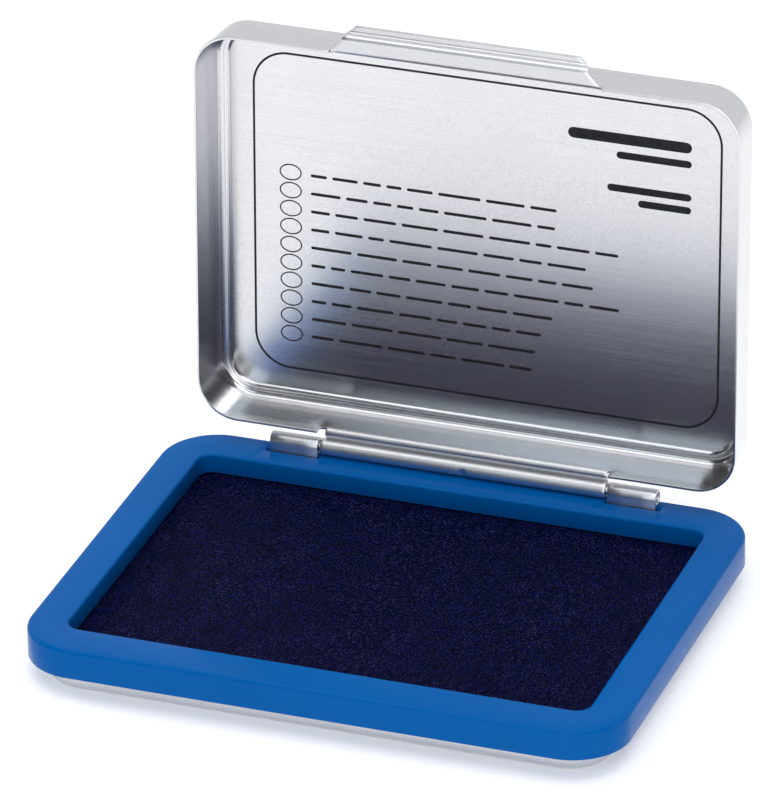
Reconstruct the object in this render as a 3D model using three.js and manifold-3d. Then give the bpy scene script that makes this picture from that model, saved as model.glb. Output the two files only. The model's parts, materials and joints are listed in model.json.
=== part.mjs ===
// A stamp ink pad in a hinged tin case, standing open.
// Millimetres, +Z up, +X to the right, +Y to the back. The origin is the middle of the tray's underside.
import * as THREE from "three";
import * as BufferGeometryUtils from "three/addons/utils/BufferGeometryUtils.js";
import Module from "manifold-3d";

const wasm = await Module();
wasm.setup();

// ---- driving dimensions ----
const SHEET = 0.35; // tinplate thickness of the lid and the tray
const GAP = 0.3; // clearance between neighbouring pieces
const FRAME_TOP = 7.1; // height of the frame's flat top over the table
const FRAME = { halfX: 40.3, halfY: 30.8, radius: 7.7, skirt: 2.2, bottom: 3.03, plate: 1.8, edge: 0.7 };
const OPENING = { halfX: 35, halfY: 24.8, radius: 2, middleY: -0.2, wall: 1.2, bottom: 4.4 };
const TRAY = { halfX: 37.8, halfY: 28.4, radius: 5.6, top: 5, fillet: 1 };
const LID = { halfX: 37.3, length: 55.1, radius: 5.6, depth: 7.5, draft: 0.47, fillet: 1.3 };
const LID_PLAY = 0.27; // how far the lid sits to the right of the hinge's middle
const PANEL = { ledge: 0.35, step: 0.32, slope: 0.3 }; // raised middle of the lid's top
const HINGE = { y: 29.2, z: 8.28, barrelR: 1.12, pinR: 0.64, wallBack: 2.25, rimDrop: 1 };
const KNUCKLE = { centreHalf: 19.8, start: 20.1, end: 26.8, curl: 300 };
const BARREL_BEND = { radius: 0.45, z: 0.35, curl: 330 }; // where the lid's back wall turns to its barrel
const LID_OPEN = 92.1; // degrees from closed to the open rest position
const LIP = { rootHalf: 18.5, edgeHalf: 15.2, flat: 1.75, bend: 0.45, rise: 0.5, turn: 75, hem: 0.7 };
const DIMPLE = { radius: 0.85, depth: 0.22, angle: 200 };
const BOARD = { halfX: 35.6, halfY: 26.2, radius: 3.5, low: 0.65, high: 1.55 };
const FELT = { halfX: 35.6, halfY: 26.2, radius: 3.5, low: 1.85, high: 3.4 };
const CLOTH = { halfX: 36.4, halfY: 27, radius: 4.2, skin: 0.4, low: 0.7, border: 4.1, crown: 4.7 };

const CORNER_STEPS = 7; // facets in a quarter of an outline's corner
const FILLET_STEPS = 3; // facets in a rounded edge
const BEND_DEGREES = 15; // largest turn of one facet in a bent strip

// ---- geometry helpers ----

// A rounded rectangle at height z, counter-clockwise from its right edge.
function outline(halfX, halfY, radius, z, middleY = 0) {
  const r = Math.max(radius, 0.3);
  const points = [];
  for (let corner = 0; corner < 4; corner += 1) {
    const sx = corner === 0 || corner === 3 ? 1 : -1;
    const sy = corner < 2 ? 1 : -1;
    for (let k = 0; k <= CORNER_STEPS; k += 1) {
      const a = (Math.PI / 2) * (corner + k / CORNER_STEPS);
      const x = sx * (halfX - r) + r * Math.cos(a);
      const y = middleY + sy * (halfY - r) + r * Math.sin(a);
      points.push(new THREE.Vector3(x, y, z));
    }
  }
  return points;
}

// The same outline moved inwards all round.
function inset(shape, amount, z) {
  const { halfX, halfY, radius, middleY = 0 } = shape;
  return outline(halfX - amount, halfY - amount, radius - amount, z, middleY);
}

// The outlines of a rounded edge: a quarter circle in the plane of inset and height.
function roundedEdge(shape, centreInset, centreZ, radius, from, to) {
  const rings = [];
  for (let k = 0; k <= FILLET_STEPS; k += 1) {
    const a = THREE.MathUtils.degToRad(from + ((to - from) * k) / FILLET_STEPS);
    rings.push(inset(shape, centreInset - radius * Math.cos(a), centreZ + radius * Math.sin(a)));
  }
  return rings;
}

// A closed surface through outlines with equal point counts. An open run is capped at both ends.
function skin(rings, loop = false) {
  const count = rings[0].length;
  const positions = rings.flat().flatMap((p) => [p.x, p.y, p.z]);
  const indices = [];
  const bands = loop ? rings.length : rings.length - 1;
  for (let i = 0; i < bands; i += 1) {
    const here = i * count;
    const next = ((i + 1) % rings.length) * count;
    for (let j = 0; j < count; j += 1) {
      const k = (j + 1) % count;
      indices.push(here + j, here + k, next + k, here + j, next + k, next + j);
    }
  }
  if (!loop) {
    const last = (rings.length - 1) * count;
    for (let j = 1; j < count - 1; j += 1) {
      indices.push(0, j + 1, j, last, last + j, last + j + 1);
    }
  }
  const geometry = new THREE.BufferGeometry();
  geometry.setAttribute("position", new THREE.Float32BufferAttribute(positions, 3));
  geometry.setIndex(indices);
  return facingOut(geometry);
}

function signedVolume(geometry) {
  const p = geometry.attributes.position;
  const index = geometry.index.array;
  const [a, b, c] = [new THREE.Vector3(), new THREE.Vector3(), new THREE.Vector3()];
  let sum = 0;
  for (let i = 0; i < index.length; i += 3) {
    a.fromBufferAttribute(p, index[i]);
    b.fromBufferAttribute(p, index[i + 1]);
    c.fromBufferAttribute(p, index[i + 2]);
    sum += a.dot(b.cross(c)) / 6;
  }
  return sum;
}

function facingOut(geometry) {
  if (signedVolume(geometry) < 0) {
    geometry.index.array.reverse();
  }
  return geometry;
}

// The centreline of a bent strip in the plane of y and z: straight runs and arcs of a given radius.
function bentPath(y, z, headingDegrees, moves) {
  const at = new THREE.Vector2(y, z);
  let heading = THREE.MathUtils.degToRad(headingDegrees);
  const path = [{ at: at.clone(), heading }];
  for (const { run = 0, turn = 0, radius = 0 } of moves) {
    const steps = Math.max(1, Math.ceil(Math.abs(turn) / BEND_DEGREES));
    const stepTurn = THREE.MathUtils.degToRad(turn) / steps;
    const length = run || 2 * radius * Math.sin(Math.abs(stepTurn) / 2);
    for (let k = 0; k < steps; k += 1) {
      heading += stepTurn / 2;
      at.add(new THREE.Vector2(Math.cos(heading), Math.sin(heading)).multiplyScalar(length));
      heading += stepTurn / 2;
      path.push({ at: at.clone(), heading });
    }
  }
  return path;
}

// A strip of sheet along such a path, from x = low to x = high.
function bentStrip(path, low, high) {
  const side = (sign) =>
    path.map(({ at, heading }) => {
      const reach = (sign * SHEET) / 2;
      return new THREE.Vector2(at.x - Math.sin(heading) * reach, at.y + Math.cos(heading) * reach);
    });
  const shape = new THREE.Shape([...side(1), ...side(-1).reverse()]);
  const geometry = new THREE.ExtrudeGeometry(shape, { depth: high - low, bevelEnabled: false });
  const axes = new THREE.Matrix4().makeBasis(
    new THREE.Vector3(0, 1, 0),
    new THREE.Vector3(0, 0, 1),
    new THREE.Vector3(1, 0, 0),
  );
  return geometry.applyMatrix4(axes).translate(low, 0, 0);
}

function box(low, high) {
  const size = high.map((v, i) => v - low[i]);
  const geometry = new THREE.BoxGeometry(...size);
  return geometry.translate(...low.map((v, i) => v + size[i] / 2));
}

// A flat outline of x and y points, extruded from z = low to z = high.
function prism(corners, low, high) {
  const shape = new THREE.Shape(corners.map(([x, y]) => new THREE.Vector2(x, y)));
  return new THREE.ExtrudeGeometry(shape, { depth: high - low, bevelEnabled: false }).translate(0, 0, low);
}

function solid(geometry) {
  const bare = geometry.clone();
  for (const name of Object.keys(bare.attributes)) {
    if (name !== "position") {
      bare.deleteAttribute(name);
    }
  }
  const merged = BufferGeometryUtils.mergeVertices(bare, 1e-5);
  const mesh = new wasm.Mesh({
    numProp: 3,
    vertProperties: new Float32Array(merged.attributes.position.array),
    triVerts: new Uint32Array(merged.index.array),
  });
  return new wasm.Manifold(mesh);
}

function geometryOf(manifold) {
  const mesh = manifold.getMesh();
  const geometry = new THREE.BufferGeometry();
  geometry.setAttribute("position", new THREE.BufferAttribute(mesh.vertProperties, 3));
  geometry.setIndex(new THREE.BufferAttribute(mesh.triVerts, 1));
  return geometry;
}

// ---- sub-parts of the base ----

// A drawn tray with a tab at each end of its back wall, curled into a hinge knuckle.
function makeTray() {
  const inner = TRAY.fillet - SHEET;
  const tray = skin([
    ...roundedEdge(TRAY, TRAY.fillet, TRAY.fillet, TRAY.fillet, -90, 0),
    inset(TRAY, 0, TRAY.top),
    inset(TRAY, SHEET, TRAY.top),
    ...roundedEdge(TRAY, TRAY.fillet, TRAY.fillet, inner, 0, -90),
  ]);
  let result = solid(tray);
  const tabY = HINGE.y - HINGE.barrelR + SHEET / 2;
  const tabBottom = TRAY.top - 1.5;
  const curlR = HINGE.barrelR - SHEET / 2;
  const path = bentPath(tabY, tabBottom, 90, [
    { run: HINGE.z - tabBottom },
    { turn: -KNUCKLE.curl, radius: curlR },
  ]);
  for (const [low, high] of [[KNUCKLE.start, KNUCKLE.end], [-KNUCKLE.end, -KNUCKLE.start]]) {
    result = result.add(solid(bentStrip(path, low, high)));
  }
  return geometryOf(result);
}

// A moulded ring: flat top, outer skirt over the tray's wall, and an inner wall down to the pad.
function makeFrame() {
  const { skirt, bottom, plate, edge } = FRAME;
  const plateUnderside = FRAME_TOP - plate;
  const outerWall = OPENING.wall;
  let ring = solid(
    skin(
      [
        inset(FRAME, 0, bottom),
        ...roundedEdge(FRAME, edge, FRAME_TOP - edge, edge, 0, 90),
        inset(OPENING, -edge / 2, FRAME_TOP),
        inset(OPENING, 0, FRAME_TOP - edge / 2),
        inset(OPENING, 0, OPENING.bottom),
        inset(OPENING, -outerWall, OPENING.bottom),
        inset(OPENING, -outerWall, plateUnderside),
        inset(FRAME, skirt, plateUnderside),
        inset(FRAME, skirt, bottom),
      ],
      true,
    ),
  );
  const slotFront = HINGE.y - HINGE.barrelR - GAP;
  const slotBack = slotFront + SHEET + 2 * GAP;
  for (const side of [-1, 1]) {
    const ends = [side * (KNUCKLE.start - GAP), side * (KNUCKLE.end + 2 * GAP)].sort((a, b) => a - b);
    const slot = box([ends[0], slotFront, plateUnderside - 1], [ends[1], slotBack, FRAME_TOP + 1]);
    ring = ring.subtract(solid(slot));
  }
  return geometryOf(ring);
}

// The cloth is a thin cover with turned-down sides and a slightly raised middle.
function makeCloth() {
  const { skin: thick, low, border, crown } = CLOTH;
  const raised = 2.4;
  return skin([
    inset(CLOTH, 2 * raised, crown),
    inset(CLOTH, raised, border + (crown - border) / 2),
    inset(CLOTH, thick, border),
    inset(CLOTH, 0, border - thick),
    inset(CLOTH, 0, low),
    inset(CLOTH, thick, low),
    inset(CLOTH, thick, border - thick),
    inset(CLOTH, raised, border + (crown - border) / 2 - thick),
    inset(CLOTH, 2 * raised, crown - thick),
  ]);
}

function makeSlab(shape) {
  return skin([inset(shape, 0, shape.low), inset(shape, 0, shape.high)]);
}

// ---- sub-parts of the lid, shut, with the hinge axis as origin ----

function lidOutline() {
  const middleY = -HINGE.wallBack - LID.length / 2;
  return { halfX: LID.halfX, halfY: LID.length / 2, radius: LID.radius, middleY };
}

// How far the draft moves a wall inwards at a height over the rim. The front wall stands straight.
function draftAt(height) {
  return (LID.draft * height) / LID.depth;
}

function drafted(shape, height) {
  const move = draftAt(height);
  const { halfX, halfY, radius, middleY } = shape;
  return { halfX: halfX - move, halfY: halfY - move / 2, radius, middleY: middleY - move / 2 };
}

function lidShell() {
  const rim = -HINGE.rimDrop;
  const panelTop = rim + LID.depth;
  const ledgeTop = panelTop - PANEL.step;
  const wallHeight = LID.depth - PANEL.step - LID.fillet;
  const shape = lidOutline();
  const top = drafted(shape, wallHeight);
  const inner = LID.fillet - SHEET;
  const ledgeEnd = LID.fillet + PANEL.ledge;
  const stepEnd = ledgeEnd + PANEL.slope;
  return skin([
    inset(top, stepEnd, panelTop),
    inset(top, ledgeEnd, ledgeTop),
    ...roundedEdge(top, LID.fillet, rim + wallHeight, LID.fillet, 90, 0),
    inset(shape, 0, rim),
    inset(shape, SHEET, rim),
    ...roundedEdge(top, LID.fillet, rim + wallHeight, inner, 0, 90),
    inset(top, ledgeEnd, ledgeTop - SHEET),
    inset(top, stepEnd, panelTop - SHEET),
  ]);
}

// The back wall ends over the hinge in a bend that leads up to the long middle barrel.
// The straight stretch between them is the inner tangent of the bend's circle and the barrel's.
function lidBarrel() {
  const curlR = HINGE.barrelR - SHEET / 2;
  const { radius, z, curl } = BARREL_BEND;
  const startZ = 2.1;
  const startY = -HINGE.wallBack - draftAt(startZ + HINGE.rimDrop) - SHEET / 2;
  const bendY = startY + radius;
  const distance = Math.hypot(bendY, z);
  const reach = radius + curlR;
  const slope = THREE.MathUtils.radToDeg(Math.asin(reach / distance) - Math.atan2(z, -bendY));
  const path = bentPath(startY, startZ, -90, [
    { run: startZ - z },
    { turn: 90 + slope, radius },
    { run: Math.sqrt(distance ** 2 - reach ** 2) },
    { turn: -curl, radius: curlR },
  ]);
  return bentStrip(path, -KNUCKLE.centreHalf, KNUCKLE.centreHalf);
}

// The thumb lip runs forwards from the rim, turns up and is hemmed forwards again.
function lidLip() {
  const rootY = -HINGE.wallBack - LID.length;
  const startZ = -HINGE.rimDrop + SHEET / 2;
  const path = bentPath(rootY + SHEET, startZ, 180, [
    { run: LIP.flat + SHEET },
    { turn: -LIP.turn, radius: LIP.bend },
    { run: LIP.rise },
    { turn: LIP.turn, radius: LIP.bend },
    { run: LIP.hem },
  ]);
  const strip = solid(bentStrip(path, -LIP.rootHalf, LIP.rootHalf));
  const reach = LIP.flat + 2 * LIP.bend + LIP.rise + LIP.hem;
  const trapezoid = prism(
    [
      [-LIP.rootHalf, rootY + 1],
      [-LIP.rootHalf, rootY],
      [-LIP.edgeHalf, rootY - reach],
      [LIP.edgeHalf, rootY - reach],
      [LIP.rootHalf, rootY],
      [LIP.rootHalf, rootY + 1],
    ],
    -3,
    6,
  );
  return strip.intersect(solid(trapezoid));
}

// A round punch mark that locks the barrel on the pin.
function crimpDimple() {
  const a = THREE.MathUtils.degToRad(DIMPLE.angle + LID_OPEN);
  const reach = HINGE.barrelR + DIMPLE.radius - DIMPLE.depth;
  const ball = new THREE.SphereGeometry(DIMPLE.radius, 12, 8);
  return ball.translate(0, Math.cos(a) * reach, Math.sin(a) * reach);
}

function makeLid() {
  const rim = -HINGE.rimDrop;
  const reliefHalf = KNUCKLE.centreHalf + 0.4;
  const relief = box(
    [-reliefHalf, -HINGE.wallBack - 1, rim - 1],
    [reliefHalf, -HINGE.wallBack + 1, BARREL_BEND.z],
  );
  const lid = solid(lidShell())
    .add(lidLip())
    .translate([LID_PLAY, 0, 0])
    .subtract(solid(relief))
    .add(solid(lidBarrel()))
    .subtract(solid(crimpDimple()));
  return geometryOf(lid);
}

function makePin() {
  const pin = new THREE.CylinderGeometry(HINGE.pinR, HINGE.pinR, 2 * KNUCKLE.end - 0.4, 20);
  return pin.rotateZ(Math.PI / 2);
}

// ---- assembly ----

const tinplate = { color: 0xc9cbcd, roughness: 0.3, metalness: 1 };
const bluePlastic = { color: 0x0d62b5, roughness: 0.28, metalness: 0 };
const steelWire = { color: 0xa8abb0, roughness: 0.35, metalness: 1 };
const inkedCloth = { color: 0x110d33, roughness: 0.9, metalness: 0 };
const inkedFelt = { color: 0x1c1c55, roughness: 1, metalness: 0 };
const greyBoard = { color: 0x8c8578, roughness: 0.95, metalness: 0 };

function part(name, geometry, look) {
  const mesh = new THREE.Mesh(geometry, new THREE.MeshStandardMaterial(look));
  mesh.name = name;
  return mesh;
}

const base = new THREE.Group();
base.add(
  part("base_tray", makeTray(), tinplate),
  part("pad_frame", makeFrame(), bluePlastic),
  part("pad_board", makeSlab(BOARD), greyBoard),
  part("ink_felt", makeSlab(FELT), inkedFelt),
  part("cover_cloth", makeCloth(), inkedCloth),
);

const lid = new THREE.Group();
lid.add(part("lid_shell", makeLid(), tinplate), part("hinge_pin", makePin(), steelWire));
lid.position.set(0, HINGE.y, HINGE.z);
lid.rotation.x = -THREE.MathUtils.degToRad(LID_OPEN);

const inkPad = new THREE.Group();
inkPad.add(base, lid);

export default inkPad;
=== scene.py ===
"""A stamp ink pad in a hinged tin case, standing open, in the row frame and in metres."""

import json
import math
import random

import bmesh
import bpy
from mathutils import Matrix, Vector, noise


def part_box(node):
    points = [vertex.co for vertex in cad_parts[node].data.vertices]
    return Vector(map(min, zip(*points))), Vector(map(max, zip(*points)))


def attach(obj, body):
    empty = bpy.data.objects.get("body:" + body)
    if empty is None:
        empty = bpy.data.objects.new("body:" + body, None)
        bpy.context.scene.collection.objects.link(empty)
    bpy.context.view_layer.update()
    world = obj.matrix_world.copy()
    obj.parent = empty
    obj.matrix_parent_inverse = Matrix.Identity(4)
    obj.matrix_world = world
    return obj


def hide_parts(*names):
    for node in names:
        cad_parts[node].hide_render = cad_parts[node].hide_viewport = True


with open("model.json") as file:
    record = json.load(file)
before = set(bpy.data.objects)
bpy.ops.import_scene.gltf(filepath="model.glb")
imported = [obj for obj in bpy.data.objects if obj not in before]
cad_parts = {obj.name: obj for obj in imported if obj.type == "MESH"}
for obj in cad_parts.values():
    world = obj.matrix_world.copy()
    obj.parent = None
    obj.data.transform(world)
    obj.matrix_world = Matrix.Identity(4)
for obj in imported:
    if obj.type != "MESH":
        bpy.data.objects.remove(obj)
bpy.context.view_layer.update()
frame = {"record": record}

MM = 0.001
TINY = 1e-6
SHEET = 0.35  # tinplate thickness
HINGE_JOINT = frame["record"]["behaviour"]["joints"][0]
HINGE_Y, HINGE_Z = (v / MM for v in HINGE_JOINT["pos_m"][1:])
LID_OPEN = math.radians(HINGE_JOINT["range_deg"][1])


def size_mm(node):
    """The CAD node's lowest and highest corners in millimetres."""
    return tuple(tuple(v / MM for v in corner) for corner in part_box(node))


FRAME_LOW, FRAME_HIGH = size_mm("pad_frame")
TRAY_HIGH = size_mm("base_tray")[1]
CLOTH_LOW, CLOTH_HIGH = size_mm("cover_cloth")
FELT_LOW, FELT_HIGH = size_mm("ink_felt")
BOARD_LOW, BOARD_HIGH = size_mm("pad_board")
PIN_HIGH = size_mm("hinge_pin")[1]

# Sizes in millimetres that the boxes don't give.
TRAY = {"half_y": 28.4, "radius": 5.6, "top": 5.0, "fillet": 1.0}
FRAME = {"radius": 7.7, "skirt": 2.2, "plate": 1.8, "edge": 0.55}
OPENING = {
    "half_x": 35.0,
    "half_y": 24.8,
    "radius": 2.0,
    "mid_y": -0.2,
    "wall": 1.2,
    "bottom": 4.4,
}
LID = {
    "half_x": 37.3,
    "length": 55.1,
    "radius": 5.6,
    "depth": 7.5,
    "draft": 0.47,
    "fillet": 1.3,
}
LID_PLAY = 0.27  # how far the lid sits to the right of the hinge's middle
PANEL = {"ledge": 0.35, "step": 0.32, "slope": 0.3, "arc": 0.15}
WALL_BACK = 2.25  # from the hinge axis to the lid's back wall
RIM_DROP = 1.0
BARREL_R = 1.12
BARREL_HALF = 19.8
SLIT = 0.4  # width of the slit in the lid's wall beside the barrel
BEND = {"radius": 0.45, "z": 0.35, "curl": 330}
KNUCKLE = {"start": 20.1, "end": 26.8, "curl": 300}
TAB = {"lift": 0.4, "flat": 4.4}  # the tabs' start over the rim, and in the flat pattern
LIP = {
    "root": 18.5,
    "edge": 15.2,
    "start": 0.3,
    "flat": 1.75,
    "bend": 0.45,
    "rise": 0.5,
    "turn": 75,
    "hem": 0.7,
}
LIP_Z = -0.35  # height of the wall's edge that the lip leaves
DIMPLE = {"radius": 0.9, "depth": 0.24, "angle": math.radians(200)}


# ---- outlines and paths ----


class Outline:
    """A rounded rectangle. Its points keep their order and number at every inset."""

    def __init__(self, half_x, half_y, radius, mid=(0.0, 0.0)):
        self.half_x, self.half_y, self.radius, self.mid = half_x, half_y, radius, mid

    def inset(self, amount):
        radius = max(self.radius - amount, 0.3)
        return Outline(self.half_x - amount, self.half_y - amount, radius, self.mid)

    def points(self, columns):
        """Counter-clockwise (x, y, normal x, normal y), starting at the right back corner."""
        centre_x, centre_y = self.half_x - self.radius, self.half_y - self.radius
        runs = [columns["back"], columns["side"], columns["front"], columns["side"]]
        result = []
        for corner in range(4):
            sx = 1 if corner in (0, 3) else -1
            sy = 1 if corner < 2 else -1
            for k in range(columns["corner"] + 1):
                a = math.pi / 2 * (corner + k / columns["corner"])
                nx, ny = math.cos(a), math.sin(a)
                x = sx * centre_x + self.radius * nx
                y = sy * centre_y + self.radius * ny
                result.append((x + self.mid[0], y + self.mid[1], nx, ny))
            a = math.pi / 2 * (corner + 1)
            nx, ny = round(math.cos(a)), round(math.sin(a))
            along = centre_x if corner in (0, 2) else centre_y
            direction = 1 if corner in (2, 3) else -1
            for fraction in sorted(runs[corner], reverse=direction < 0):
                if corner in (0, 2):
                    x, y = fraction * along, ny * self.half_y
                else:
                    x, y = nx * self.half_x, fraction * along
                result.append((x + self.mid[0], y + self.mid[1], nx, ny))
        return result


def bent_path(y, z, heading, moves, side, step=8):
    """One face of a bent sheet in the plane of y and z: side 1 is the left face, -1 the right."""
    path, arc = [], 0.0
    heading = math.radians(heading)

    def keep():
        reach = side * SHEET / 2
        path.append((y - math.sin(heading) * reach, z + math.cos(heading) * reach, arc))

    keep()
    for kind, amount, radius in moves:
        if kind == "run":
            steps, turn, length = 2, 0.0, amount / 2
        else:
            steps = max(1, math.ceil(abs(amount) / step))
            turn = math.radians(amount) / steps
            length = 2 * radius * math.sin(abs(turn) / 2)
        for _ in range(steps):
            heading += turn / 2
            y += math.cos(heading) * length
            z += math.sin(heading) * length
            arc += length
            heading += turn / 2
            keep()
    return path


# ---- mesh helpers ----


def new_object(name, verts, faces, uvs=None):
    """A mesh object from points in millimetres. uvs is one pair for each point, in millimetres."""
    mesh = bpy.data.meshes.new(name)
    mesh.from_pydata([Vector(v) * MM for v in verts], [], faces)
    if uvs:
        layer = mesh.uv_layers.new(name="flat")
        for loop in mesh.loops:
            u, v = uvs[loop.vertex_index]
            layer.data[loop.index].uv = (u / 100, v / 100)
    mesh.validate()
    obj = bpy.data.objects.new(name, mesh)
    bpy.context.scene.collection.objects.link(obj)
    return obj


def modify(obj, kind, **settings):
    modifier = obj.modifiers.new(kind.title(), kind)
    for key, value in settings.items():
        setattr(modifier, key, value)
    return modifier


def apply_all(obj):
    """Replaces the object's mesh by what its modifiers make of it."""
    graph = bpy.context.evaluated_depsgraph_get()
    graph.update()
    mesh = bpy.data.meshes.new_from_object(obj.evaluated_get(graph), depsgraph=graph)
    obj.modifiers.clear()
    old, obj.data = obj.data, mesh
    bpy.data.meshes.remove(old)
    mesh.name = obj.name
    return obj


def smooth(obj):
    for polygon in obj.data.polygons:
        polygon.use_smooth = True
    return obj


def fix_normals(obj):
    bm = bmesh.new()
    bm.from_mesh(obj.data)
    bmesh.ops.recalc_face_normals(bm, faces=bm.faces)
    bm.to_mesh(obj.data)
    bm.free()
    return obj


def finish_sheet(obj, edge=0.07):
    """Gives a sheet its thickness on the inner side, broken edges and clean shading."""
    modify(obj, "SOLIDIFY", thickness=SHEET * MM, offset=-1, use_even_offset=True)
    limit = {"limit_method": "ANGLE", "angle_limit": math.radians(50)}
    modify(obj, "BEVEL", width=edge * MM, segments=2, **limit)
    modify(obj, "WEIGHTED_NORMAL", keep_sharp=True)
    return smooth(apply_all(obj))


class Surface:
    """Collects the points and faces of a sheet made of rings and of strips that leave a ring."""

    def __init__(self):
        self.verts, self.uvs, self.faces = [], [], []

    def point(self, place, uv):
        self.verts.append(place)
        self.uvs.append(uv)
        return len(self.verts) - 1

    def ring(self, outline, z, arc, columns):
        """arc is how far this ring lies outside the flat pattern's reference outline."""
        row = []
        for x, y, nx, ny in outline.points(columns):
            base = (x + nx * arc, y + ny * arc)
            row.append(self.point((x, y, z), base))
        return row

    def band(self, lower, upper, skip=()):
        """Faces between two rings, but for the columns in skip."""
        count = len(lower)
        for j in range(count):
            k = (j + 1) % count
            if j not in skip:
                self.faces.append((lower[j], lower[k], upper[k], upper[j]))

    def strip(self, first, rows):
        """Faces from a run of points of a ring through further rows."""
        previous = first
        for row in rows:
            for j in range(len(first) - 1):
                self.faces.append((previous[j], previous[j + 1], row[j + 1], row[j]))
            previous = row


def run_of(ring_points, low, high, side_y):
    """Positions in a ring of the points on its front or back side with low <= x <= high."""
    picked = []
    for j, (x, _, _, ny) in enumerate(ring_points):
        if ny == side_y and low - TINY <= x <= high + TINY:
            picked.append(j)
    return picked


# ---- the tray ----


def make_tray():
    half_x = TRAY_HIGH[0]
    shape = Outline(half_x, TRAY["half_y"], TRAY["radius"])
    reach = half_x - TRAY["radius"]
    tabs = [KNUCKLE["start"], 22.3, 24.6, KNUCKLE["end"]]
    columns = {
        "corner": 14,
        "back": [s * x / reach for s in (-1, 1) for x in tabs + [4, 12]],
        "front": [x / 5 for x in range(-4, 5)],
        "side": [x / 4 for x in range(-3, 4)],
    }
    fillet = TRAY["fillet"]
    surface = Surface()
    rings = []
    for inset in (26, 20, 12, 6, 3, 1.6, fillet):
        rings.append(surface.ring(shape.inset(inset), 0.0, 0.0, columns))
    surface.faces.append(tuple(rings[0]))
    for k in range(1, 9):
        a = math.pi / 2 * k / 8
        inset, z = fillet * (1 - math.sin(a)), fillet * (1 - math.cos(a))
        arc = fillet * a - (fillet - inset)
        rings.append(surface.ring(shape.inset(inset), z, arc, columns))
    for z in (2.0, 3.0, 4.0, TRAY["top"]):
        rings.append(surface.ring(shape, z, fillet * (math.pi / 2 - 1) + z - fillet, columns))
    for lower, upper in zip(rings, rings[1:]):
        surface.band(lower, upper)
    tab_y = HINGE_Y - BARREL_R + SHEET / 2
    path = bent_path(
        tab_y,
        TRAY["top"] + TAB["lift"],
        90,
        [
            ("run", HINGE_Z - TRAY["top"] - TAB["lift"], 0),
            ("turn", -KNUCKLE["curl"], BARREL_R - SHEET / 2),
        ],
        side=-1,
    )
    points = shape.points(columns)
    for low, high in ((KNUCKLE["start"], KNUCKLE["end"]), (-KNUCKLE["end"], -KNUCKLE["start"])):
        picked = run_of(points, low, high, 1)
        first = [rings[-1][j] for j in picked]
        rows = []
        for y, z, arc in path:
            v = TRAY["half_y"] + TAB["flat"] + arc
            rows.append([surface.point((points[j][0], y, z), (points[j][0], v)) for j in picked])
        surface.strip(first, rows)
    obj = new_object("tin_tray", surface.verts, surface.faces, surface.uvs)
    fix_normals(obj)
    return finish_sheet(obj)


# ---- the lid, shut, with the hinge axis as origin ----


def opened(points):
    """Points of the shut lid, turned about the hinge to where the lid stands at rest."""
    turn = Matrix.Rotation(-LID_OPEN, 3, "X")
    axis = Vector((0, HINGE_Y, HINGE_Z))
    return [turn @ Vector(point) + axis for point in points]


def lid_outline(height):
    """The lid's outer outline at a height over its rim. The front wall stands straight."""
    move = LID["draft"] * height / LID["depth"]
    half_y = LID["length"] / 2
    mid = (LID_PLAY, -WALL_BACK - half_y - move / 2)
    return Outline(LID["half_x"] - move, half_y - move / 2, LID["radius"], mid)


def lid_rings(surface, columns):
    """The rings from the middle of the panel to the rim, and the z of each."""
    fillet, step = LID["fillet"], PANEL["step"]
    wall_height = LID["depth"] - step - fillet
    top = lid_outline(wall_height)
    panel_z = LID["depth"] - RIM_DROP
    ledge_end = fillet + PANEL["ledge"]
    step_end = ledge_end + PANEL["slope"]
    rings, heights = [], []

    def add(outline, z, arc):
        rings.append(surface.ring(outline, z, arc, columns))
        heights.append(z)

    for inset in (25, 21, 15, 9, 5, step_end + 1, step_end + 0.35):
        add(top.inset(inset), panel_z, 0)
    for k in range(5):
        t = k / 4
        inset = step_end - PANEL["slope"] * t
        add(top.inset(inset), panel_z - step * (1 - math.cos(math.pi * t)) / 2, PANEL["arc"] * t)
    for k in range(9):
        a = math.pi / 2 * (1 - k / 8)
        inset = fillet * (1 - math.cos(a))
        z = wall_height - RIM_DROP + fillet * math.sin(a)
        add(top.inset(inset), z, PANEL["arc"] + fillet * (math.pi / 2 - a) - (fillet - inset))
    start_arc = PANEL["arc"] + fillet * (math.pi / 2 - 1)
    start_z = wall_height - RIM_DROP
    for z in (4.2, 3.2, 2.3, 1.7, 1.2, 0.8, BEND["z"], 0.0, LIP_Z, -0.7, -RIM_DROP):
        add(lid_outline(z + RIM_DROP), z, start_arc + start_z - z)
    surface.faces.append(tuple(rings[0]))
    return rings, heights


def barrel_path(wall_y):
    """The outer face from the back wall's bend round the barrel, and where the curl starts."""
    curl_r = BARREL_R - SHEET / 2
    centre_y = wall_y - SHEET / 2 + BEND["radius"]
    distance = math.hypot(centre_y, BEND["z"])
    reach = BEND["radius"] + curl_r
    slope = math.degrees(math.asin(reach / distance) - math.atan2(BEND["z"], -centre_y))
    moves = [
        ("turn", 90 + slope, BEND["radius"]),
        ("run", math.sqrt(distance**2 - reach**2), 0),
        ("turn", -BEND["curl"], curl_r),
    ]
    path = bent_path(wall_y - SHEET / 2, BEND["z"], -90, moves, side=1)
    return path, math.ceil((90 + slope) / 8) + 2


def dimpled(x, y, z):
    """Presses the crimp's round mark into the barrel."""
    a = DIMPLE["angle"] + LID_OPEN
    centre = Vector((0, math.cos(a) * BARREL_R, math.sin(a) * BARREL_R))
    place = Vector((x, y, z))
    t = (place - centre).length / DIMPLE["radius"]
    if t >= 1:
        return place
    press = DIMPLE["depth"] * (1 - t * t) ** 2
    return place - centre.normalized() * press


BULGE = {"past": 0.5, "z": 0.55, "half_x": 0.75, "half_z": 0.9, "fall": 1.5}
BULGE_HIGH = {-1: 0.16, 1: 0.1}  # left and right
BURR = {"drop": 0.1, "length": 2.2}


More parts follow.
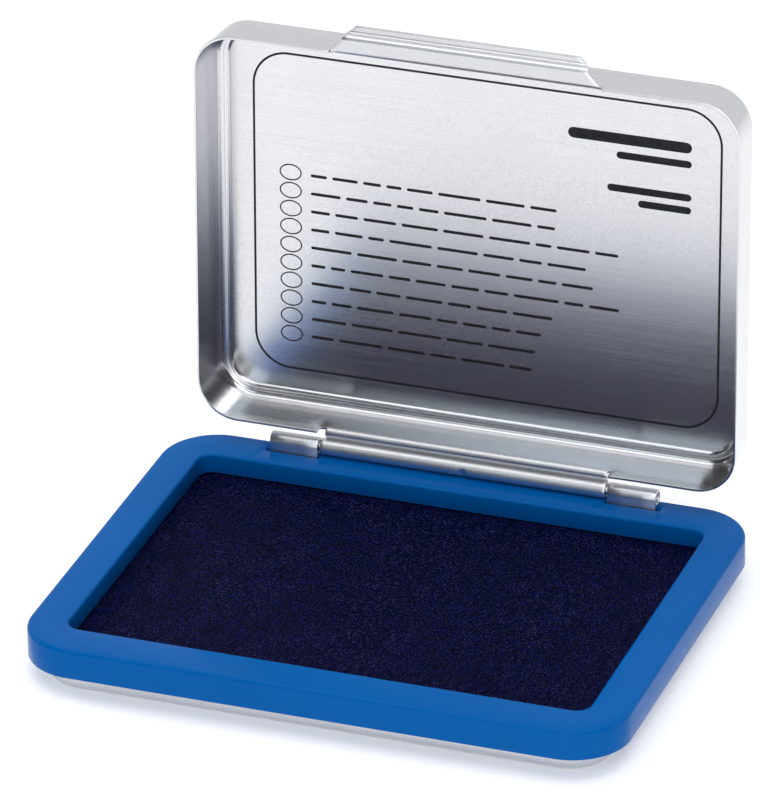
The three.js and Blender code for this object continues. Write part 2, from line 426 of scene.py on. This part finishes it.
def torn(x, y, z):
    """The sheet's small bulge and burr where the wall was slit beside the barrel."""
    for side, swell in BULGE_HIGH.items():
        distance = math.hypot(
            (x - side * (BARREL_HALF + BULGE["past"])) / BULGE["half_x"],
            (z - BULGE["z"]) / BULGE["half_z"],
        )
        y += swell * math.exp(-distance * distance * BULGE["fall"])
    if x > 0 and z <= -RIM_DROP + TINY:
        z -= BURR["drop"] * max(0.0, 1 - (x - BARREL_HALF - SLIT) / BURR["length"])
    return y, z


def make_lid_shell():
    reach = LID["half_x"] - LID["radius"]
    near_slit = [18.6, 19.3, BARREL_HALF, BARREL_HALF + SLIT, 20.7, 21.3, 22.4, 26]
    near_dimple = [0.2, 0.4, 0.6, 0.8, 1.05, 1.5]
    back = [s * x - LID_PLAY for s in (-1, 1) for x in near_slit + near_dimple + [6, 12.5]]
    front = [s * x for s in (-1, 1) for x in (5, 11.5, 17.5, LIP["root"], 19.3, 25)]
    columns = {
        "corner": 16,
        "back": [x / reach for x in back + [-LID_PLAY]],
        "front": [x / reach for x in front + [0]],
        "side": [y / 6 for y in range(-5, 6)],
    }
    surface = Surface()
    rings, heights = lid_rings(surface, columns)
    rim_points = lid_outline(0).points(columns)
    slit = run_of(rim_points, -BARREL_HALF - SLIT, BARREL_HALF + SLIT, 1)
    barrel = run_of(rim_points, -BARREL_HALF, BARREL_HALF, 1)
    lip = run_of(rim_points, LID_PLAY - LIP["root"], LID_PLAY + LIP["root"], -1)
    for i in range(len(rings) - 1):
        skip = []
        if heights[i] <= BEND["z"] + TINY:
            skip += slit[:-1]
        if heights[i] <= LIP_Z + TINY:
            skip += lip[:-1]
        surface.band(rings[i], rings[i + 1], skip)
    add_barrel(surface, rings[heights.index(BEND["z"])], barrel, rim_points)
    add_lip(surface, rings[heights.index(LIP_Z)], lip, rim_points)
    for i, ring in enumerate(rings):
        for j in run_of(rim_points, -27, 27, 1):
            if heights[i] < 2.5:
                x, y, z = surface.verts[ring[j]]
                surface.verts[ring[j]] = (x, *torn(x, y, z))
    used = sorted({index for face in surface.faces for index in face})
    order = {index: k for k, index in enumerate(used)}
    verts = opened(surface.verts[index] for index in used)
    faces = [tuple(order[index] for index in face) for face in surface.faces]
    obj = new_object("tin_lid", verts, faces, [surface.uvs[index] for index in used])
    fix_normals(obj)
    return finish_sheet(obj)


NOTCH = {"width": 0.5, "start": 0.9, "length": 0.1}


def add_barrel(surface, ring, picked, points):
    """The barrel, rolled from the back wall. A notch narrows its left end up to the curl."""
    wall_y = surface.verts[ring[picked[0]]][1]
    path, curl_start = barrel_path(wall_y)
    first_uv = surface.uvs[ring[picked[0]]][1]
    rows = []
    for k, (y, z, arc) in enumerate(path[1:], 1):
        back_to_full = min(1.0, max(0.0, (k - curl_start) / 2))
        left = NOTCH["width"] * (1 - back_to_full)
        row = []
        for j in picked:
            x = points[j][0]
            x += left * max(0.0, -x / BARREL_HALF - NOTCH["start"]) / NOTCH["length"]
            place = dimpled(x, y, z)
            row.append(surface.point(tuple(place), (x, first_uv + arc)))
        rows.append(row)
    surface.strip([ring[j] for j in picked], rows)


def add_lip(surface, ring, picked, points):
    """The thumb lip: out from the front wall, up, and out again to its narrower edge."""
    root_y = surface.verts[ring[picked[0]]][1]
    first_uv = surface.uvs[ring[picked[0]]][1]
    start_r = LIP["start"] + SHEET / 2
    moves = [
        ("turn", -90, start_r),
        ("run", LIP["flat"] - start_r + SHEET / 2, 0),
        ("turn", -LIP["turn"], LIP["bend"]),
        ("run", LIP["rise"], 0),
        ("turn", LIP["turn"], LIP["bend"]),
        ("run", LIP["hem"], 0),
    ]
    path = bent_path(root_y + SHEET / 2, LIP_Z, -90, moves, side=-1)
    reach = root_y - min(y for y, _, _ in path)
    rows = []
    for y, z, arc in path[1:]:
        narrow = (LIP["root"] - LIP["edge"]) / LIP["root"] * max(0.0, root_y - y) / reach
        row = []
        for j in picked:
            x = LID_PLAY + (points[j][0] - LID_PLAY) * (1 - narrow)
            row.append(surface.point((x, y, z), (x, first_uv - arc)))
        rows.append(row)
    surface.strip([ring[j] for j in picked], rows)


# ---- the frame ----


SLOT_GAP = 0.3


def make_frame():
    """The plastic ring: outer skirt, rounded top, opening, and a plate underneath."""
    half_x, half_y = FRAME_HIGH[0], FRAME_HIGH[1]
    top, bottom, edge = FRAME_HIGH[2], FRAME_LOW[2], FRAME["edge"]
    outer = Outline(half_x, half_y, FRAME["radius"])
    mid = (0.0, OPENING["mid_y"])
    opening = Outline(OPENING["half_x"], OPENING["half_y"], OPENING["radius"], mid)
    wall, lip_edge = OPENING["wall"], 0.35
    underside = top - FRAME["plate"]
    columns = {
        "corner": 18,
        "back": [x / 8 for x in range(-7, 8)],
        "front": [x / 8 for x in range(-7, 8)],
        "side": [x / 6 for x in range(-5, 6)],
    }
    profile = [(outer, 0.0, bottom), (outer, 0.0, (bottom + top) / 2)]
    for k in range(9):
        a = math.pi / 2 * k / 8
        profile.append((outer, edge * (1 - math.cos(a)), top - edge + edge * math.sin(a)))
    for k in range(6):
        a = math.pi / 2 * k / 5
        profile.append((opening, -lip_edge * (1 - math.sin(a)), top - lip_edge * (1 - math.cos(a))))
    profile += [
        (opening, 0.0, OPENING["bottom"]),
        (opening, -wall, OPENING["bottom"]),
        (opening, -wall, underside),
        (outer, FRAME["skirt"], underside),
        (outer, FRAME["skirt"], bottom),
    ]
    surface = Surface()
    rings = [surface.ring(shape.inset(inset), z, 0, columns) for shape, inset, z in profile]
    for lower, upper in zip(rings, rings[1:] + rings[:1]):
        surface.band(lower, upper)
    obj = fix_normals(new_object("blue_frame", surface.verts, surface.faces))
    cut_slots(obj, underside, top)
    limit = {"limit_method": "ANGLE", "angle_limit": math.radians(60)}
    modify(obj, "BEVEL", width=0.12 * MM, segments=2, **limit)
    modify(obj, "WEIGHTED_NORMAL", keep_sharp=True)
    return smooth(apply_all(obj))


def cut_slots(obj, underside, top):
    """The two slots that the tray's tabs come up through."""
    front = HINGE_Y - BARREL_R - SLOT_GAP
    back = front + SHEET + 2 * SLOT_GAP
    reach = (KNUCKLE["start"] - SLOT_GAP, KNUCKLE["end"] + 2 * SLOT_GAP)
    for side in (-1, 1):
        left, right = sorted(side * x for x in reach)
        low, high = (left, front, underside - 1), (right, back, top + 1)
        cutter = fix_normals(new_object("cutter", *block(low, high)))
        modify(obj, "BOOLEAN", operation="DIFFERENCE", object=cutter, solver="EXACT")
        apply_all(obj)
        bpy.data.objects.remove(cutter)


def block(low, high):
    xs, ys, zs = zip(low, high)
    verts = [(x, y, z) for x in xs for y in ys for z in zs]
    faces = [(0, 1, 3, 2), (4, 6, 7, 5), (0, 4, 5, 1), (2, 3, 7, 6), (0, 2, 6, 4), (1, 5, 7, 3)]
    return verts, faces


# ---- the pad ----


def slab(name, low, high, radius, edge, spacing):
    """A flat pad with rounded edges, as a grid fine enough to shape further."""
    half_x, half_y = high[0], high[1]
    shape = Outline(half_x, half_y, radius)
    steps_x, steps_y = int(half_x / spacing), int(half_y / spacing)
    columns = {
        "corner": 8,
        "back": [x / steps_x for x in range(1 - steps_x, steps_x)],
        "front": [x / steps_x for x in range(1 - steps_x, steps_x)],
        "side": [y / steps_y for y in range(1 - steps_y, steps_y)],
    }
    profile = [(inset, low[2]) for inset in (20, 10, 4, edge)]
    profile += [(0.0, low[2] + edge), (0.0, high[2] - edge)]
    for k in range(1, 5):
        a = math.pi / 2 * k / 4
        profile.append((edge * (1 - math.cos(a)), high[2] - edge + edge * math.sin(a)))
    profile += [(inset, high[2]) for inset in (4, 10, 20)]
    surface = Surface()
    rings = [surface.ring(shape.inset(inset), z, 0, columns) for inset, z in profile]
    for lower, upper in zip(rings, rings[1:]):
        surface.band(lower, upper)
    surface.faces += [tuple(rings[0]), tuple(rings[-1])]
    return fix_normals(new_object(name, surface.verts, surface.faces))


CLOTH_THICK = 0.4
CLOTH_BORDER = 4.15  # height of the cloth where the frame's inner wall meets it
CLOTH_FREE = CLOTH_BORDER - 0.5  # the cloth can move above this height, inside the opening
CLOTH_INSET = 0.1
CLOTH_UNDER = 0.6  # faces this near the bottom are left out
VOXEL = 0.75
CROWN_POWER = 0.55
SIM_SCALE = 10  # the cloth is simulated ten times as large
SIM_FRAMES = 20
SIM_SETTINGS = {
    "quality": 6,
    "mass": 0.3,
    "tension_stiffness": 6,
    "compression_stiffness": 6,
    "bending_stiffness": 0.6,
    "use_pressure": True,
    "uniform_pressure_force": 4,
    "vertex_group_mass": "held",
}


def swollen(obj):
    """Blows the pad's free top up with Cloth. Gives each point's place before it, and its move."""
    start = [v.co.copy() for v in obj.data.vertices]
    for vertex in obj.data.vertices:
        vertex.co *= SIM_SCALE
    held = obj.vertex_groups.new(name="held")
    rim_x, rim_y = OPENING["half_x"] * MM, OPENING["half_y"] * MM
    fixed = []
    for index, co in enumerate(start):
        inside = abs(co.x) < rim_x and abs(co.y - OPENING["mid_y"] * MM) < rim_y
        if not (inside and co.z > CLOTH_FREE * MM):
            fixed.append(index)
    held.add(fixed, 1.0, "REPLACE")
    cloth = modify(obj, "CLOTH")
    for key, value in SIM_SETTINGS.items():
        setattr(cloth.settings, key, value)
    cloth.settings.effector_weights.gravity = 0
    cloth.collision_settings.use_collision = False
    scene = bpy.context.scene
    for number in range(1, SIM_FRAMES + 1):
        scene.frame_set(number)
    apply_all(obj)
    scene.frame_set(1)
    return start, [v.co / SIM_SCALE - a for v, a in zip(obj.data.vertices, start)]


def make_cloth():
    """The cloth over the pad. The swell's moves are scaled and flattened to the CAD's crown."""
    low = (CLOTH_LOW[0], CLOTH_LOW[1], CLOTH_LOW[2])
    high = (CLOTH_HIGH[0] - CLOTH_INSET, CLOTH_HIGH[1] - CLOTH_INSET, CLOTH_BORDER)
    crown = CLOTH_HIGH[2] - CLOTH_BORDER
    obj = slab("cloth_pad", low, high, 4.2, 0.8, 2.0)
    modify(obj, "REMESH", mode="VOXEL", voxel_size=VOXEL * MM)
    apply_all(obj)
    start, moves = swollen(obj)
    largest = max(m.length for m in moves)
    for vertex, place, move in zip(obj.data.vertices, start, moves):
        # A stuffed pad under a frame rises fast at its edge and is nearly level in the middle.
        share = (move.length / largest) ** CROWN_POWER if largest > 0 else 0
        direction = move.normalized() if move.length > 0 else Vector((0, 0, 0))
        soft = 0.035 * noise.noise(place * 90) + 0.02 * noise.noise(place * 300)
        lift = Vector((0, 0, soft * MM * share))
        vertex.co = place + direction * crown * MM * share + lift
    bm = bmesh.new()
    bm.from_mesh(obj.data)
    under_z = (low[2] + CLOTH_UNDER) * MM
    under = [f for f in bm.faces if f.normal.z < -0.5 and f.calc_center_median().z < under_z]
    bmesh.ops.delete(bm, geom=under, context="FACES")
    bm.to_mesh(obj.data)
    bm.free()
    modify(obj, "SUBSURF", levels=1, render_levels=1)
    modify(obj, "SOLIDIFY", thickness=CLOTH_THICK * MM, offset=-1)
    return smooth(apply_all(obj))


# ---- the pin ----


# How far the end's rings are set back at each radius, drawn for a wire of radius 0.64.
PIN_END = [(0.0, 0.02), (0.3, 0.03), (0.5, 0.08), (0.6, 0.16)]
PIN_END_R = 0.64
PIN_SIDES = 32


def make_pin():
    """A piece of drawn wire with sheared, slightly burred ends."""
    radius, half = PIN_HIGH[2] - HINGE_Z, PIN_HIGH[0]
    profile = [(r * radius / PIN_END_R, half - back) for r, back in PIN_END]
    profile.append((radius, half - 0.3))
    profile += [(radius, x) for x in (13, 0, -13)]
    profile += [(r, -x) for r, x in reversed(profile[:5])]
    count = PIN_SIDES
    verts, faces = [], []
    for r, x in profile[1:-1]:
        for k in range(count):
            a = 2 * math.pi * k / count
            verts.append((x, HINGE_Y + r * math.cos(a), HINGE_Z + r * math.sin(a)))
    rows = len(profile) - 2
    for i in range(rows - 1):
        for k in range(count):
            j = (k + 1) % count
            faces.append((i * count + k, i * count + j, (i + 1) * count + j, (i + 1) * count + k))
    faces.append(tuple(range(count)))
    faces.append(tuple(range((rows - 1) * count, rows * count)))
    obj = fix_normals(new_object("wire_pin", verts, faces))
    modify(obj, "WEIGHTED_NORMAL")
    return smooth(apply_all(obj))


# ---- the print in the lid ----

PRINT_THICK = 0.015
LINE_U, LINE_V = -23.45, 33.8  # where the first printed line starts
LINE_PITCH = 2.59
LINE_COUNT = 10
LINE_END_RANGE = (7.0, 22.0)  # where a line may end
WORD = {"short": 1.8, "long": 6.2, "gap": 0.75, "rest": 1.6, "least": 1.2}
WORD_BAR = {"height": 0.42, "drop": 0.1}
OVAL_U, OVAL_OUTER, OVAL_INNER = -26.25, (1.55, 1.18), (1.37, 1.0)
BORDER = Outline(32.2, 22.75, 5.0, (0.75, 28.05))
BORDER_LINE = 0.3
HEADING_BARS = [  # low u, high u, v, height
    (12.0, 28.8, 45.2, 1.5),
    (18.6, 28.8, 42.9, 1.0),
    (17.4, 28.8, 38.2, 1.0),
    (21.6, 28.8, 36.4, 1.0),
]


class Print:
    """Flat printed shapes on the lid's inner face. u runs to the right, v away from the hinge."""

    def __init__(self):
        self.verts, self.faces = [], []
        self.face_z = LID["depth"] - RIM_DROP - SHEET

    def place(self, u, v, depth):
        return (u, -WALL_BACK - v, self.face_z - depth)

    def fill(self, outline):
        """A filled shape from its outline."""
        start, count = len(self.verts), len(outline)
        for depth in (0.0, PRINT_THICK):
            self.verts += [self.place(u, v, depth) for u, v in outline]
        self.faces.append(tuple(range(start, start + count)))
        self.faces.append(tuple(range(start + count, start + 2 * count)))
        for k in range(count):
            j = (k + 1) % count
            self.faces.append((start + k, start + j, start + count + j, start + count + k))

    def loop(self, outer, inner):
        """A closed line between two outlines with the same number of points."""
        start, count = len(self.verts), len(outer)
        for depth in (0.0, PRINT_THICK):
            for outline in (outer, inner):
                self.verts += [self.place(u, v, depth) for u, v in outline]
        for k in range(count):
            j = (k + 1) % count
            for a, b in ((0, 1), (1, 3), (3, 2), (2, 0)):
                a, b = start + a * count, start + b * count
                self.faces.append((a + k, a + j, b + j, b + k))


def oval(u, v, half_u, half_v, count=40):
    turns = [2 * math.pi * k / count for k in range(count)]
    return [(u + half_u * math.cos(a), v + half_v * math.sin(a)) for a in turns]


def bar(low_u, high_u, v, height):
    """A bar with round ends."""
    r = height / 2
    right = [(high_u - r + r * math.cos(a), v + r * math.sin(a)) for a in arc_steps(-90, 90)]
    left = [(low_u + r + r * math.cos(a), v + r * math.sin(a)) for a in arc_steps(90, 270)]
    return right + left


def arc_steps(start, end, count=8):
    return [math.radians(start + (end - start) * k / count) for k in range(count + 1)]


def make_print():
    """A thin border, and empty ovals with lines of plain bars. Nothing in it is lettering."""
    sheet = Print()
    columns = {"corner": 20, "back": [0], "front": [0], "side": [0]}
    outlines = []
    for inset in (0.0, BORDER_LINE):
        outlines.append([(x, y) for x, y, _, _ in BORDER.inset(inset).points(columns)])
    sheet.loop(*outlines)
    rng = random.Random(4)
    for k in range(LINE_COUNT):
        end = rng.uniform(*LINE_END_RANGE)
        v = LINE_V - LINE_PITCH * k
        sheet.loop(oval(OVAL_U, v, *OVAL_OUTER), oval(OVAL_U, v, *OVAL_INNER))
        u = LINE_U
        while u < end - WORD["least"]:
            stop = min(u + rng.uniform(WORD["short"], WORD["long"]), end)
            if end - stop < WORD["rest"]:
                stop = end
            sheet.fill(bar(u, stop, v - WORD_BAR["drop"], WORD_BAR["height"]))
            u = stop + WORD["gap"]
    for shape in HEADING_BARS:
        sheet.fill(bar(*shape))
    return fix_normals(new_object("lid_print", opened(sheet.verts), sheet.faces))


# ---- materials ----


class Shader:
    """A material under construction."""

    def __init__(self, name, **surface):
        self.material = bpy.data.materials.new(name)
        self.material.use_nodes = True
        self.tree = self.material.node_tree
        self.surface = self.tree.nodes["Principled BSDF"]
        self.set(self.surface, surface)

    def set(self, node, inputs):
        for key, value in inputs.items():
            socket = node.inputs[key if isinstance(key, int) else key.replace("_", " ")]
            if isinstance(value, bpy.types.NodeSocket):
                self.tree.links.new(value, socket)
            else:
                socket.default_value = value

    def node(self, kind, inputs=None, output=0, **settings):
        node = self.tree.nodes.new("ShaderNode" + kind)
        for key, value in settings.items():
            setattr(node, key, value)
        self.set(node, inputs or {})
        return node.outputs[output]

    def stretched(self, source, scale):
        """Coordinates in millimetres, scaled along each axis."""
        return self.node("Mapping", {"Vector": source, "Scale": scale}, vector_type="POINT")

    def noise(self, vector, scale=1.0, detail=2.0, rough=0.5):
        inputs = {"Vector": vector, "Scale": scale, "Detail": detail, "Roughness": rough}
        return self.node("TexNoise", inputs)

    def ramp(self, factor, low, high, start=0.0, end=1.0):
        return self.node(
            "MapRange",
            {"Value": factor, "From Min": low, "From Max": high, "To Min": start, "To Max": end},
        )

    def mix(self, factor, a, b):
        """Two colours mixed by a factor."""
        node = self.tree.nodes.new("ShaderNodeMix")
        node.data_type = "RGBA"
        self.set(node, {0: factor, 6: a, 7: b})
        return node.outputs[2]

    def math(self, operation, a, b=0.0):
        return self.node("Math", {0: a, 1: b}, operation=operation)

    def bump(self, height, strength, distance, normal=None):
        inputs = {"Height": height, "Strength": strength, "Distance": distance * MM}
        if normal is not None:
            inputs["Normal"] = normal
        return self.node("Bump", inputs)


def tin():
    """Brushed tinplate: lines along the flat pattern's u, mottling, duller barrel and lip."""
    s = Shader("tinplate", Metallic=1.0, Anisotropic=0.65, Anisotropic_Rotation=0.25)
    uv = s.node("UVMap", uv_map="flat")
    lines = s.noise(s.stretched(uv, (2.5, 700, 1)), 1.0, 3.0, 0.6)
    fine = s.noise(s.stretched(uv, (8, 2400, 1)), 1.0, 2.0, 0.5)
    place = s.node("TexCoord", output=3)
    cloud = s.noise(place, 130.0, 3.0, 0.55)
    grain = s.noise(place, 3600.0, 2.0, 0.6)
    tone = s.mix(s.ramp(lines, 0.3, 0.7), (0.64, 0.645, 0.66, 1), (0.74, 0.745, 0.765, 1))
    tone = s.mix(s.ramp(cloud, 0.45, 0.8, 0.0, 0.35), tone, (0.62, 0.625, 0.635, 1))
    tone = s.mix(s.ramp(grain, 0.5, 0.75, 0.0, 0.3), tone, (0.5, 0.51, 0.54, 1))
    rough = s.ramp(lines, 0.25, 0.75, 0.17, 0.215)
    rough = s.math("ADD", rough, s.ramp(grain, 0.4, 0.7, 0.0, 0.04))
    along = s.node("SeparateXYZ", {"Vector": uv}, 1)
    rough = s.math("ADD", rough, s.ramp(along, 0.026, 0.036, 0.0, 0.13))
    rough = s.math("ADD", rough, s.ramp(along, -0.62, -0.64, 0.0, 0.1))
    bump = s.bump(lines, 0.2, 0.0015)
    bump = s.bump(fine, 0.2, 0.0008, bump)
    bump = s.bump(cloud, 0.3, 0.01, bump)
    tangent = s.node("Tangent", direction_type="UV_MAP", uv_map="flat")
    s.set(s.surface, {"Base Color": tone, "Roughness": rough, "Normal": bump, "Tangent": tangent})
    return s.material


def blue_plastic():
    """Glossy injection-moulded plastic, with a faint orange peel and light handling marks."""
    s = Shader("blue_plastic", Metallic=0.0, IOR=1.46, Specular_IOR_Level=0.06)
    place = s.node("TexCoord", output=3)
    cloud = s.noise(place, 70.0, 2.0, 0.5)
    peel = s.noise(place, 700.0, 2.0, 0.4)
    scuffs = s.noise(s.stretched(place, (2600, 500, 900)), 1.0, 3.0, 0.7)
    tone = s.mix(s.ramp(cloud, 0.35, 0.65), (0.0, 0.107, 0.395, 1), (0.0, 0.114, 0.415, 1))
    rough = s.ramp(scuffs, 0.45, 0.75, 0.16, 0.26)
    bump = s.bump(peel, 0.25, 0.01)
    s.set(s.surface, {"Base Color": tone, "Roughness": rough, "Normal": bump})
    return s.material


def inked_cloth():
    """A fine plain weave, soaked with blue-black ink, with painted glints: lighter specks in the
    colour where the threads stand proud.
    """
    s = Shader("inked_cloth", Metallic=0.0, Specular_IOR_Level=0.02)
    sheen = {"Sheen Weight": 0.05, "Sheen Roughness": 0.4, "Sheen Tint": (0.1, 0.14, 0.75, 1)}
    s.set(s.surface, sheen)
    place = s.node("TexCoord", output=3)
    wander = s.noise(place, 260.0, 2.0, 0.5)
    threads = {"Vector": place, "Scale": 900.0, "Distortion": 2.5, "Detail": 1.0}
    weft = s.node("TexWave", threads, 1)
    warp = s.node("TexWave", threads, 1, bands_direction="Y")
    weave = s.math("MULTIPLY", weft, warp)
    fibre = s.noise(place, 3700.0, 1.0, 0.5)
    speck = s.noise(place, 2900.0, 1.0, 0.5)
    tone = s.mix(s.ramp(weave, 0.1, 0.8), (0.0, 0.0, 0.007, 1), (0.0, 0.001, 0.014, 1))
    tone = s.mix(s.ramp(speck, 0.48, 0.68, 0.0, 1.0), tone, (0.002, 0.005, 0.07, 1))
    # The lighter fibre specks mixed in here are painted glints; the same noise also raises the
    # threads in the bump and their roughness.
    tone = s.mix(s.ramp(fibre, 0.55, 0.68, 0.0, 1.0), tone, (0.03, 0.026, 0.085, 1))
    tone = s.mix(s.ramp(wander, 0.35, 0.7, 0.0, 0.4), tone, (0.0, 0.001, 0.01, 1))
    rough = s.ramp(fibre, 0.3, 0.7, 0.45, 0.75)
    height = s.math("ADD", weave, s.math("MULTIPLY", fibre, 0.9))
    bump = s.bump(height, 0.8, 0.08)
    s.set(s.surface, {"Base Color": tone, "Roughness": rough, "Normal": bump})
    return s.material


def pin_wire():
    """Drawn steel wire with lines round and along it."""
    s = Shader("pin_wire", Metallic=1.0)
    place = s.node("TexCoord", output=3)
    drawn = s.noise(s.stretched(place, (60, 5000, 5000)), 1.0, 2.0, 0.6)
    stain = s.noise(place, 500.0, 3.0, 0.6)
    tone = s.mix(s.ramp(drawn, 0.3, 0.7), (0.42, 0.42, 0.43, 1), (0.6, 0.6, 0.61, 1))
    tone = s.mix(s.ramp(stain, 0.55, 0.8, 0.0, 0.5), tone, (0.25, 0.22, 0.2, 1))
    s.set(s.surface, {"Base Color": tone, "Roughness": s.ramp(stain, 0.3, 0.7, 0.28, 0.45)})
    s.set(s.surface, {"Normal": s.bump(drawn, 0.4, 0.005)})
    return s.material


def printing_ink():
    """Thin black printing ink over brushed tin."""
    s = Shader("printing_ink", Metallic=0.0, Specular_IOR_Level=0.2)
    place = s.node("TexCoord", output=3)
    lines = s.noise(s.stretched(place, (150, 150, 6000)), 1.0, 2.0, 0.6)
    thin = s.noise(place, 1500.0, 3.0, 0.6)
    tone = s.mix(s.ramp(thin, 0.4, 0.75), (0.009, 0.009, 0.012, 1), (0.024, 0.025, 0.03, 1))
    s.set(s.surface, {"Base Color": tone, "Roughness": s.ramp(lines, 0.3, 0.7, 0.35, 0.5)})
    s.set(s.surface, {"Normal": s.bump(lines, 0.3, 0.003)})
    return s.material


def inked_felt():
    """Pressed felt, soaked with ink, with darker patches at random."""
    s = Shader("inked_felt", Metallic=0.0, Specular_IOR_Level=0.2, Sheen_Weight=0.2)
    place = s.node("TexCoord", output=3)
    fibre = s.noise(s.stretched(place, (1500, 3200, 2500)), 1.0, 4.0, 0.7)
    patch = s.noise(place, 150.0, 3.0, 0.6)
    tone = s.mix(s.ramp(fibre, 0.3, 0.7), (0.008, 0.008, 0.05, 1), (0.02, 0.025, 0.12, 1))
    tone = s.mix(s.ramp(patch, 0.45, 0.75, 0.0, 0.5), tone, (0.004, 0.004, 0.025, 1))
    s.set(s.surface, {"Base Color": tone, "Roughness": s.ramp(fibre, 0.3, 0.7, 0.75, 0.95)})
    s.set(s.surface, {"Normal": s.bump(fibre, 0.9, 0.08)})
    return s.material


def grey_board():
    """Greyboard with flecks and a little ink soaked into it."""
    s = Shader("grey_board", Metallic=0.0, Specular_IOR_Level=0.3)
    place = s.node("TexCoord", output=3)
    fleck = s.noise(s.stretched(place, (900, 1500, 2500)), 1.0, 4.0, 0.7)
    stain = s.noise(place, 60.0, 3.0, 0.6)
    tone = s.mix(s.ramp(fleck, 0.3, 0.7), (0.36, 0.33, 0.29, 1), (0.5, 0.47, 0.42, 1))
    tone = s.mix(s.ramp(stain, 0.5, 0.65, 0.0, 0.8), tone, (0.06, 0.07, 0.22, 1))
    s.set(s.surface, {"Base Color": tone, "Roughness": s.ramp(fleck, 0.3, 0.7, 0.8, 0.95)})
    s.set(s.surface, {"Normal": s.bump(fleck, 0.6, 0.03)})
    return s.material


# ---- putting it together ----


def install(obj, body, node, material):
    """Gives a piece its material, puts it under its body and hides the CAD node that it replaces.
    """
    obj.data.materials.clear()
    obj.data.materials.append(material)
    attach(obj, body)
    if node:
        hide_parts(node)
    return obj


def build():
    metal = tin()
    install(make_tray(), "base", "base_tray", metal)
    install(make_frame(), "base", "pad_frame", blue_plastic())
    board = slab("board_slab", BOARD_LOW, BOARD_HIGH, 3.5, 0.12, 6.0)
    install(smooth(board), "base", "pad_board", grey_board())
    felt = slab("felt_slab", FELT_LOW, FELT_HIGH, 3.5, 0.4, 4.0)
    install(smooth(felt), "base", "ink_felt", inked_felt())
    cloth = install(make_cloth(), "base", "cover_cloth", inked_cloth())
    install(make_lid_shell(), "lid", "lid_shell", metal)
    install(make_pin(), "lid", "hinge_pin", pin_wire())
    install(make_print(), "lid", None, printing_ink())


# ---- the studio ----

CAMERA = {
    "azimuth": 20.054,
    "elevation": 27.583,
    "roll": -0.924,
    "distance": 1.09496,
    "lens": 367.95,
    "sensor": 36,
}
LOOK_AT = Vector((-0.01690, 0.04705, FRAME_HIGH[2] * MM - 0.00038))


def add_camera():
    azimuth = math.radians(CAMERA["azimuth"])
    elevation = math.radians(CAMERA["elevation"])
    back = Vector(
        (
            math.sin(azimuth) * math.cos(elevation),
            -math.cos(azimuth) * math.cos(elevation),
            math.sin(elevation),
        )
    )
    data = bpy.data.cameras.new("camera")
    data.lens, data.sensor_width = CAMERA["lens"], CAMERA["sensor"]
    data.clip_start, data.clip_end = 0.05, 20
    camera = bpy.data.objects.new("camera", data)
    bpy.context.scene.collection.objects.link(camera)
    camera.rotation_mode = "QUATERNION"
    upright = (-back).to_track_quat("-Z", "Y")
    roll = Matrix.Rotation(math.radians(CAMERA["roll"]), 3, "Z").to_quaternion()
    camera.rotation_quaternion = upright @ roll
    camera.location = LOOK_AT + back * CAMERA["distance"]
    bpy.context.scene.camera = camera


def add_light(name, place, aim, size, power, colour=(1, 1, 1)):
    data = bpy.data.lights.new(name, "AREA")
    data.shape = "RECTANGLE"
    data.size, data.size_y = size
    data.energy, data.color = power, colour
    light = bpy.data.objects.new(name, data)
    light.location = place
    light.rotation_mode = "QUATERNION"
    light.rotation_quaternion = (Vector(aim) - Vector(place)).to_track_quat("-Z", "Y")
    bpy.context.scene.collection.objects.link(light)


FLOOR_HALF = 3000  # millimetres


def add_floor():
    """White paper. A weak emission keeps it white in front of the object."""
    turns = ((-1, -1), (1, -1), (1, 1), (-1, 1))
    corners = [(x * FLOOR_HALF, y * FLOOR_HALF, 0) for x, y in turns]
    floor = new_object("floor", corners, [(0, 1, 2, 3)])
    s = Shader("floor", Metallic=0.0, Roughness=0.9, Specular_IOR_Level=0.0)
    s.set(s.surface, {"Emission Color": (1, 1, 1, 1), "Emission Strength": 0.3})
    place = s.node("TexCoord", output=3)
    paper = s.noise(place, 250.0, 3.0, 0.6)
    tone = s.mix(s.ramp(paper, 0.3, 0.7), (0.9, 0.9, 0.9, 1), (0.92, 0.92, 0.92, 1))
    s.set(s.surface, {"Base Color": tone})
    floor.data.materials.append(s.material)


def add_world():
    """A room that is white behind the object and dim on the camera's side."""
    world = bpy.data.worlds.new("studio")
    world.use_nodes = True
    tree = world.node_tree
    background = tree.nodes["Background"]
    where = tree.nodes.new("ShaderNodeTexCoord")
    parts = tree.nodes.new("ShaderNodeSeparateXYZ")
    blend = tree.nodes.new("ShaderNodeMapRange")
    blend.interpolation_type = "SMOOTHSTEP"
    fade = {"From Min": -0.25, "From Max": 0.45, "To Min": 0.05, "To Max": 0.86}
    for name, value in fade.items():
        blend.inputs[name].default_value = value
    tree.links.new(where.outputs["Generated"], parts.inputs[0])
    tree.links.new(parts.outputs["Y"], blend.inputs["Value"])
    tree.links.new(blend.outputs[0], background.inputs["Strength"])
    background.inputs["Color"].default_value = (0.97, 0.985, 1.0, 1)
    bpy.context.scene.world = world


MIDDLE = (0, 0, 0.02)
LIGHTS = [  # name, place, aim, size and power
    ("overhead", (0.0, -0.15, 1.0), MIDDLE, (1.1, 0.8), 5.0),
    ("left", (-0.85, 0.05, 0.5), MIDDLE, (0.2, 0.2), 1.4),
    ("front", (0.35, -0.7, 0.8), MIDDLE, (0.5, 0.3), 2.6),
    ("low", (0.05, -0.8, 0.11), MIDDLE, (0.34, 0.18), 0.6),
    ("card", (-0.06, -0.47, 0.35), (0, 0.03, 0.01), (0.28, 0.24), 0.3, (0.8, 0.91, 1)),
]


def add_studio():
    add_floor()
    add_world()
    for light in LIGHTS:
        add_light(*light)
    bpy.context.scene.view_settings.view_transform = "Standard"


build()
add_camera()
add_studio()
